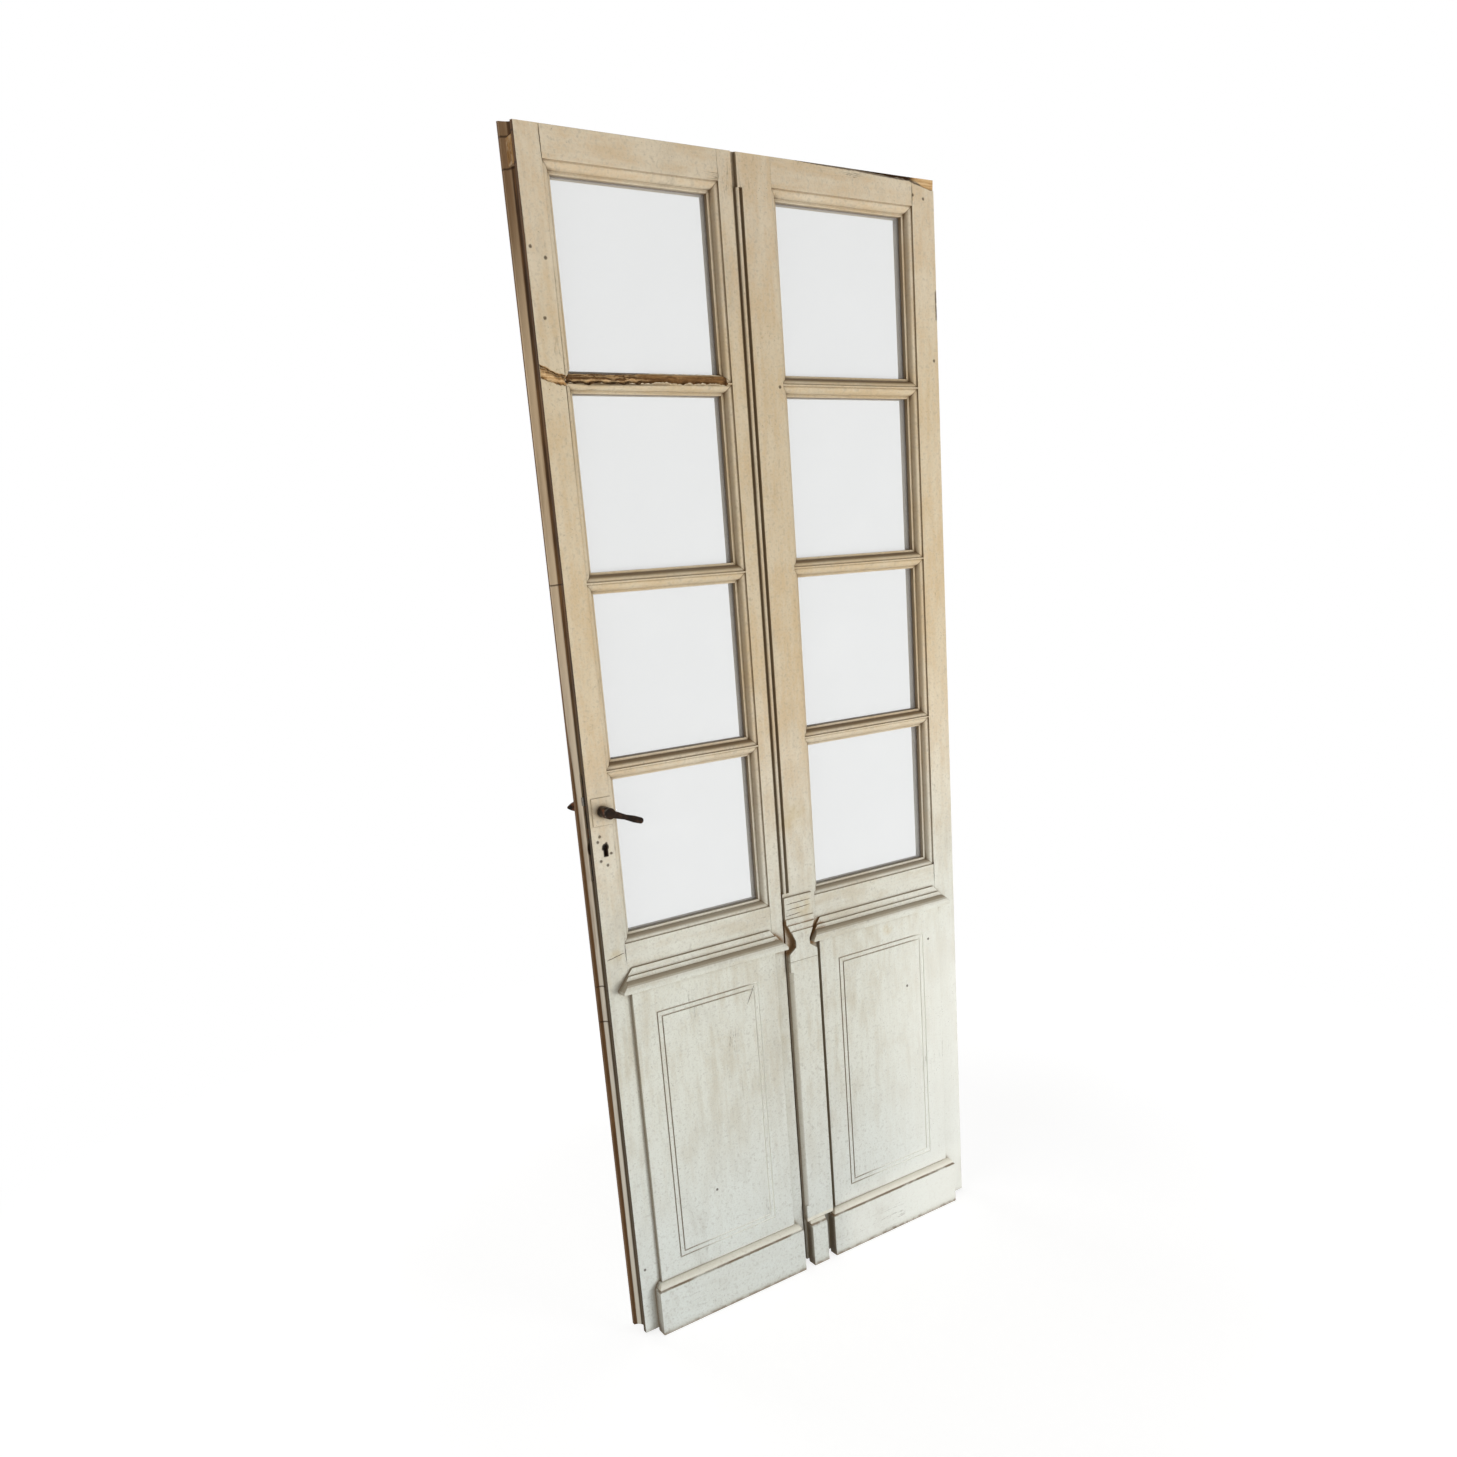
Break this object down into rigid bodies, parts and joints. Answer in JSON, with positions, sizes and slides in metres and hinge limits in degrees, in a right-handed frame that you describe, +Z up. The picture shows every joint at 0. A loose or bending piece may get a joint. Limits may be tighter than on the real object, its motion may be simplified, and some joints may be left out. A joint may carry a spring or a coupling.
{
  "type": "double entrance door",
  "caption": "Pair of old painted timber door leaves with glazed tops and panelled bottoms, hinged together at the middle, with a mortise lock and lift-off hinge sockets.",
  "frame": {"origin": "middle of the foot of the hung (right) leaf's meeting stile, at mid thickness", "axes": "+X to the right seen from the front, +Y to the back, +Z up"},
  "size_m": [0.9462, 0.144, 2.32],
  "materials": {
    "paint_upper": "aged cream paint, satin",
    "paint_lower": "aged off-white paint, satin",
    "glass": "clear",
    "iron": "worn black-brown iron",
    "steel": "dull, slightly rusty"
  },
  "bodies": {
    "hung_leaf": {"meeting_stile": "paint_upper", "hanging_stile": "paint_upper", "hung_top_rail": "paint_upper", "hung_bar_1": "paint_upper", "hung_bar_2": "paint_upper", "hung_bar_3": "paint_upper", "hung_glazing_beads": "paint_upper", "hung_mid_rail": "paint_lower", "hung_bottom_rail": "paint_lower", "hung_panel": "paint_lower", "hung_dado": "paint_lower", "hung_plinth": "paint_lower", "astragal_strip": "paint_lower", "astragal_cap": "paint_lower", "astragal_block": "paint_lower", "hung_pane_1": "glass", "hung_pane_2": "glass", "hung_pane_3": "glass", "hung_pane_4": "glass", "fold_hinge_hung_halves": "iron", "fold_hinge_pins": "iron", "hanging_sockets": "iron", "fold_hinge_hung_screws": "steel", "hanging_socket_screws": "steel"},
    "lock_leaf": {"lock_stile": "paint_upper", "edge_block": "paint_upper", "fold_stile": "paint_upper", "lock_top_rail": "paint_upper", "lock_bar_1": "paint_upper", "lock_bar_2": "paint_upper", "lock_bar_3": "paint_upper", "lock_glazing_beads": "paint_upper", "front_rose": "paint_upper", "lock_mid_rail": "paint_lower", "lock_bottom_rail": "paint_lower", "lock_panel": "paint_lower", "lock_dado": "paint_lower", "lock_plinth": "paint_lower", "lock_pane_1": "glass", "lock_pane_2": "glass", "lock_pane_3": "glass", "lock_pane_4": "glass", "lock_faceplate": "iron", "rear_plate": "iron", "fold_hinge_lock_halves": "iron", "lock_case": "steel", "lock_screws": "steel", "rear_plate_screws": "steel", "fold_hinge_lock_screws": "steel"},
    "handle": {"lock_follower": "steel", "spindle": "steel", "front_lever": "iron", "rear_knob": "iron"},
    "latch": {"latch_bolt": "steel"},
    "key_bolt": {"dead_bolt": "steel"}
  },
  "joints": [
    {"name": "fold", "type": "hinge", "parent": "hung_leaf", "child": "lock_leaf", "pos_m": [-0.04425, 0.0313, 0], "axis": [0, 0, -1], "range_deg": [0, 170]},
    {"name": "lever_turn", "type": "hinge", "parent": "lock_leaf", "child": "handle", "pos_m": [-0.44675, 0, 1.138], "axis": [0, 1, 0], "range_deg": [0, 35], "stiffness_Nm_per_rad": 0.5, "springref_deg": -34.38},
    {"name": "latch_slide", "type": "slide", "parent": "lock_leaf", "child": "latch", "axis": [1, 0, 0], "range_m": [0, 0.008]},
    {"name": "dead_bolt_slide", "type": "slide", "parent": "lock_leaf", "child": "key_bolt", "axis": [-1, 0, 0], "range_m": [0, 0.012]}
  ],
  "couplings": [
    {"joint": "latch_slide", "follows": "lever_turn", "m_per_rad": 0.013}
  ]
}
